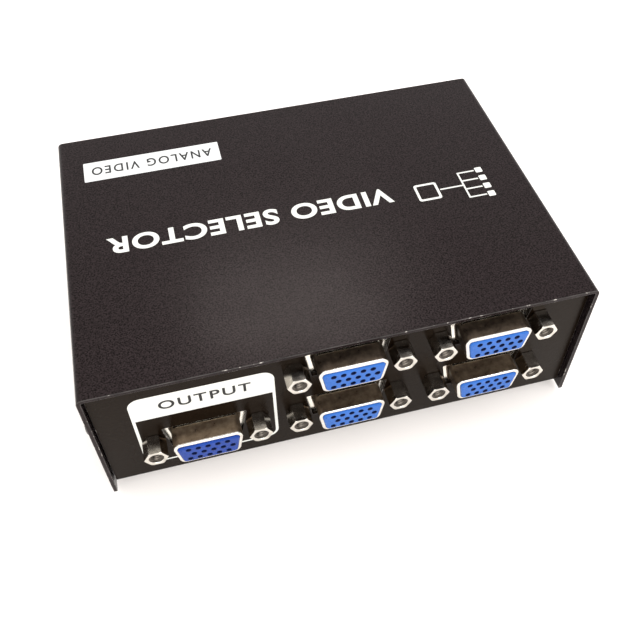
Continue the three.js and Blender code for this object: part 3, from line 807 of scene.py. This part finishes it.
# ---------------------------------------------------------------- ports
# In these meshes Y = 0 is the panel's outer face, and X = Z = 0 is the middle of the port or jackscrew.
def shell_mesh(tube):
    """One drawn steel shell: a flange with its bushes, a rounded foot, a D-shaped tube and a lip turned in
    at its tip. The tube's own material, a painted shade, lies between the foot and the plain nickel tip, and
    the flange and the top of the foot take a painted highlight."""
    foot, round_tip, chamfer, lip, wall = 0.7, 0.36, 0.04, SHELL["lip"], SHELL["wall"]
    front, rear, tip = FLANGE["front"], FLANGE["rear"], SHELL["reach"]
    painted_highlight_end, painted_shade_end, lip_back = 0.14, tip - 0.5, tip - 0.3
    profile = [(-foot * (1 - math.sin(t)), front + foot * (1 - math.cos(t))) for t in QUARTER]
    profile += [(0, painted_highlight_end), (0, painted_shade_end)]
    profile += [(round_tip * (1 - math.cos(t)), tip - round_tip * (1 - math.sin(t))) for t in QUARTER]
    profile += [(lip - chamfer, tip), (lip, tip - chamfer), (lip, lip_back)]
    profile += [(wall, lip_back - chamfer), (wall, rear)]
    skin = Skin()
    rings = [skin.ring(lifted(port_outline(inset), y, "Y")) for inset, y in profile]
    skin.wall(*rings)
    outlines = [rectangle(FLANGE["width"], FLANGE["height"], FLANGE["corner"])]
    outlines += [circle(STUD_HOLE, 28, side * JACK_PITCH / 2) for side in (-1, 1)]
    edges = [[skin.ring(lifted(outline, y, "Y")) for outline in outlines] for y in (front, rear)]
    for upper, lower in zip(*edges):
        skin.wall(upper, lower)
    plate_front, plate_rear = edges
    skin.lid(plate_front[0], *plate_front[1:], rings[0])
    skin.lid(plate_rear[0], *plate_rear[1:], rings[-1])
    shell = softened(skin.mesh(), 0.07, 2, 60)
    top, above_flange = SHELL["height"] / 2 - 0.3, front + 0.05

    def on_tube(centre):
        """The faces with the tube's painted shade: the tube's sides, and the foot's sides except at the top,
        which takes the painted highlight.
        """
        if centre.y > painted_highlight_end:
            return centre.y < painted_shade_end
        return centre.y > above_flange and centre.z < top

    shell = repainted(shell, 0, 1, on_tube)
    # The flange and the top of the foot take the painted highlight.
    shell = repainted(shell, 0, 2, lambda centre: centre.y < painted_highlight_end)
    end, outside = rear - 2.5, 2.7
    bush = [(STUD_HOLE, end), (outside - 0.2, end), (outside, end + 0.2), (outside, rear), (STUD_HOLE, rear)]
    bushes = [moved(lathe(bush, "Y", 28, closed=True), x=side * JACK_PITCH / 2) for side in (-1, 1)]
    return finished(joined([shell, *bushes]), NICKEL, tube, HIGHLIGHT_NICKEL)


def contact_places():
    """The 15 places, in three rows of five. The middle row stands half a pitch aside of the others."""
    places = []
    for row in (-1, 0, 1):
        aside = CONTACT["aside"] - (CONTACT["pitch"] / 2 if row == 0 else 0)
        places += [(column * CONTACT["pitch"] + aside, row * CONTACT["row"]) for column in range(-2, 3)]
    return places


def insulator_mesh(face, material):
    """The blue nose with a rounded edge and 15 countersunk holes, and the block behind the flange."""
    edge, shoulder, radius = 0.38, SHELL["reach"] - 0.4, CONTACT["radius"]
    body, nose = SHELL["wall"] + 0.12, SHELL["lip"] + 0.05
    profile = [(body, FLANGE["rear"] - SHEET), (body, shoulder - 0.1)]
    profile += [(body + 0.1, shoulder), (nose, shoulder)]
    profile += [(nose + edge * (1 - math.cos(t)), face - edge * (1 - math.sin(t))) for t in QUARTER]
    skin = Skin()
    rings = [skin.ring(lifted(port_outline(inset), y, "Y")) for inset, y in profile]
    skin.wall(*rings)
    skin.lid(rings[0])
    rim = rings[-1]
    mouths = []
    for x, z in contact_places():
        steps = [(radius + 0.1, face), (radius, face - 0.12), (radius, face - CONTACT["depth"])]
        rings = [skin.ring(lifted(circle(r, 20, x, z), y, "Y")) for r, y in steps]
        skin.wall(*rings)
        skin.lid(rings[-1])
        mouths.append(rings[0])
    skin.lid(rim, *mouths)
    side, front, drop = HOUSING["half_width"], FLANGE["rear"] - 0.1, FLANGE["height"] / 2 - 0.1
    housing = block((-side, front - HOUSING["depth"], -drop), (side, front, drop - SHEET))
    mesh = joined([skin.mesh(), softened(housing, 0.3, 3)])

    def in_hole(centre):
        return centre.y < face - 0.05 and any(
            math.hypot(centre.x - x, centre.z - z) < radius + 0.05 for x, z in contact_places())

    return finished(repainted(mesh, 0, 1, in_hole), material, HOLE_BLUE)


def contacts_mesh(face):
    """Fifteen sockets set back in their holes, each with a leg that drops to the board."""
    parts = []
    mouth, root = face - 1.1, face - 3.5
    outer, inner, half, stagger = 0.5, 0.28, 0.2, 0.9
    socket = [(outer, root), (outer, mouth - 0.1), (0.46, mouth), (0.34, mouth), (inner, mouth - 0.15),
              (inner, root)]
    back, floor = FLANGE["rear"] - HOUSING["depth"] - half, 0.15 - FLANGE["height"] / 2
    for x, z in contact_places():
        parts.append(moved(lathe(socket, "Y", 14, closed=True), x=x, z=z))
        drop = back - stagger * (1 + z + CONTACT["row"])
        parts.append(block((x - half, drop, z - half), (x + half, back, z + half)))
        parts.append(block((x - half, drop - 2 * half, floor), (x + half, drop - 0.01, z + half)))
    return finished(joined(parts), GOLD)


def jackscrew_mesh(reach, shank):
    """A hexagonal post with a chamfered crown and a threaded hole, on a threaded stud. Its sides take a
    darker copy of its nickel and its bore a darker one still, both painted shade.
    """
    across, mouth, steps, seat = 5.0, 1.75, 48, 0.1
    corner = across / 2 / math.cos(math.pi / 6)
    crown = [(0, 0), (corner + 0.1, 0), (corner + 0.1, reach - 0.22), (corner - 0.2, reach), (0, reach)]
    # Half a step of turn keeps the cone's own edges off the corners of the hexagon.
    cone = moved(lathe(crown, "Y", steps), turn=Matrix.Rotation(math.pi / steps, 4, "Y"))
    post = combined(prism(circle(corner, 6), seat, reach, "Y"), [cone], "INTERSECT")
    bore = [(0, reach - 4.2), (1.0, reach - 4.0)]
    bore += thread(1.3, 1.58, reach - 3.9, reach - 0.4, JACK_THREAD)
    bore += [(mouth, reach - 0.3), (mouth, reach - 0.12), (mouth + 0.09, reach - 0.03)]
    bore += [(mouth + 0.2, reach + 0.02), (0, reach + 0.5)]
    post = cut(softened(post, 0.06, 2, 25), [softened(lathe(bore, "Y", 36), 0.03, 2, 25)])
    side_base = seat + 0.1

    # The bore's walls and floor take the painted shade.
    def in_bore(centre):
        return math.hypot(centre.x, centre.z) < mouth and side_base < centre.y < reach - 0.13

    post = repainted(post, 0, 1, in_bore)
    # The post's sides take the darker nickel, a painted shade.
    post = repainted(post, 0, 2, lambda centre: side_base < centre.y < reach - 0.3)
    top = seat / 2
    stud = [(0, shank), (1.0, shank), *thread(1.1, 1.35, shank + 0.3, top, JACK_THREAD), (0, top)]
    return finished(joined([post, lathe(stud, "Y", 24)]), END_NICKEL, THREAD_SHADE, JACK_SIDE_SHADE)


def make_ports():
    """The ports share their meshes. The upper ports have a darker tube and the output a darker nose, both
    painted shade.
    """
    upper, lower = shell_mesh(SHADED_NICKEL), shell_mesh(TUBE_SHADE_NICKEL)
    low, high = box("jackscrew_output_left")
    jackscrew = jackscrew_mesh(high.y - REAR_FACE, low.y - REAR_FACE)
    face = box("vga_insulator_output")[1].y - REAR_FACE
    # The deep nose is the same blue in a painted shade.
    bright, deep = insulator_mesh(face, BLUE), insulator_mesh(face, SHADED_COPY_BLUE)
    contacts = contacts_mesh(face)
    for port in PORTS:
        centre = middle(f"vga_shell_{port}")
        at = (centre.x, REAR_FACE, centre.z)
        shell = upper if port in UPPER_PORTS else lower
        piece(f"port_shell_{port}", shell, "case", f"vga_shell_{port}", at)
        insulator = deep if port == "output" else bright
        piece(f"port_insulator_{port}", insulator, "case", f"vga_insulator_{port}", at)
        piece(f"port_contacts_{port}", contacts, "case", at=at)
        for side in ("left", "right"):
            node = f"jackscrew_{port}_{side}"
            beside = middle(node)
            place = (beside.x, REAR_FACE, beside.z)
            piece(f"hex_post_{port}_{side}", jackscrew, "case", node, place)


# ---------------------------------------------------------------- boards and switch bank
def dress(node, material):
    """Gives a CAD node its material."""
    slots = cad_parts[node].data.materials
    slots.clear()
    slots.append(material)


def make_inside():
    """The boards and the switch bank keep their CAD shapes, and the board screws get real ones."""
    dress("main_board", BOARD)
    dress("port_board", BOARD)
    dress("header_link", SWITCH_PLASTIC)
    dress("switch_bracket", ZINC)
    dress("latch_bar", ZINC)
    for station in STATIONS:
        dress(f"switch_body_{station}", SWITCH_PLASTIC)
        dress(f"plunger_{station}", IVORY)
    low, high = box("board_screw_rear_left")
    length = 6
    mesh = pan_screw((high.x - low.x) / 2, high.z - low.z - length, length, ZINC)
    for corner in CORNERS:
        node = f"board_screw_{corner}"
        centre = middle(node)
        at = (centre.x, centre.y, box(node)[0].z + length)
        piece(f"standoff_screw_{corner}", mesh, "case", node, at)


def cap_mesh(size):
    """A push button cap round its own centre, with soft edges and a shallow dish in its face."""
    corner, edge, dish, chamfer, steps = 1.5, 0.6, 0.35, 0.25, 5
    half, depth = 2.1, 6
    front, rear = -size.y / 2, size.y / 2
    brim = rectangle(size.x, size.z, corner, edge)
    rings = []
    for share in (0.04, 0.2, 0.4, 0.6, 0.8, 0.95):
        y = front + dish * (1 - share * share)
        rings.append(lifted([(u * share, v * share) for u, v in brim], y, "Y"))
    for i in range(steps + 1):
        turn = math.pi / 2 * i / steps
        inset, y = edge * (1 - math.sin(turn)), front + edge * (1 - math.cos(turn))
        rings.append(lifted(rectangle(size.x, size.z, corner, inset), y, "Y"))
    rings.append(lifted(rectangle(size.x, size.z, corner), rear - chamfer, "Y"))
    rings.append(lifted(rectangle(size.x, size.z, corner, chamfer), rear, "Y"))
    socket = block((-half, rear - depth, -half), (half, rear + 1, half))
    return finished(cut(loft(rings), [socket]), CAP_PLASTIC)


def coil_mesh(radius, wire, low, high, axis):
    """A compression spring from low to high along an axis, with its end turns lying close."""
    turns, steps, end, pitch = 5, 30, 0.8, 2.1 * wire
    open_length = high - low - 2 * wire - 2 * end * pitch
    rings = []
    for i in range(turns * steps + 1):
        turn = i / steps
        angle = 2 * math.pi * turn
        closed = pitch * (min(turn, end) + max(0.0, turn - turns + end))
        share = min(1.0, max(0.0, (turn - end) / (turns - 2 * end)))
        section = circle(wire, 8, radius, low + wire + closed + open_length * share)
        rings.append([LIFTS[axis](r * math.cos(angle), r * math.sin(angle), h) for r, h in section])
    return loft(rings)


def make_buttons():
    """A cap for each button, and a return spring that its joint shortens."""
    low, high = box("button_cap_1")
    cap = cap_mesh(high - low)
    wire = 0.25
    for station in STATIONS:
        node = f"button_cap_{station}"
        piece(f"push_cap_{station}", cap, f"button_{station}", node, middle(node))
        node = f"return_spring_{station}"
        low, high = box(node)
        centre = (low + high) / 2
        coil = coil_mesh((high.x - low.x) / 2 - wire, wire, low.y, high.y, "Y")
        mesh = finished(moved(coil, centre.x, 0, centre.z), SPRING_STEEL)
        spring = piece(f"button_spring_{station}", mesh, "case", node)
        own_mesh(spring)


def make_latch_spring():
    """The spring that the latch bar shortens as it slides."""
    low, high = box("latch_spring")
    centre = (low + high) / 2
    wire = 0.18
    coil = coil_mesh((high.z - low.z) / 2 - wire, wire, low.x, high.x, "X")
    mesh = finished(moved(coil, 0, centre.y, centre.z), SPRING_STEEL)
    spring = piece("bar_spring", mesh, "case", "latch_spring")
    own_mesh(spring)


make_cover()
make_chassis()
make_cover_screws()
make_feet()
make_title()
make_pictogram()
make_label()
make_port_frame()
make_numbers()
make_ports()
make_inside()
make_buttons()
make_latch_spring()


# ---------------------------------------------------------------- floor and light
def make_floor():
    mesh = bpy.data.meshes.new("floor")
    side = 2.5
    corners = [(-side, -side, 0), (side, -side, 0), (side, side, 0), (-side, side, 0)]
    mesh.from_pydata(corners, [], [(0, 1, 2, 3)])
    mesh.materials.append(pale_floor("floor_top"))
    floor = bpy.data.objects.new("floor", mesh)
    scene.collection.objects.link(floor)


def make_light(name, azimuth, elevation, width, height, power):
    """A soft lamp a metre away that faces the box. Azimuth 0 stands in front of it."""
    data = bpy.data.lights.new(name, "AREA")
    data.shape = "RECTANGLE"
    data.size = width
    data.size_y = height
    data.energy = power
    lamp = bpy.data.objects.new(name, data)
    around, up = math.radians(azimuth), math.radians(elevation)
    level = math.cos(up)
    away = Vector((math.sin(around) * level, -math.cos(around) * level, math.sin(up)))
    lamp.location = away
    lamp.rotation_mode = "QUATERNION"
    lamp.rotation_quaternion = away.to_track_quat("Z", "Y")
    scene.collection.objects.link(lamp)


def make_sky(strength):
    world = bpy.data.worlds.new("studio")
    world.use_nodes = True
    background = world.node_tree.nodes["Background"]
    background.inputs["Color"].default_value = (1.0, 0.995, 0.985, 1)
    background.inputs["Strength"].default_value = strength
    scene.world = world


make_floor()
make_light("glow", azimuth=-11, elevation=54.5, width=0.27, height=0.12, power=0.95)
make_light("side", azimuth=215, elevation=42, width=0.35, height=0.35, power=2.0)
make_light("fill", azimuth=176, elevation=33, width=0.5, height=0.5, power=4.0)
make_sky(strength=1.5)
scene.view_settings.view_transform = "Standard"
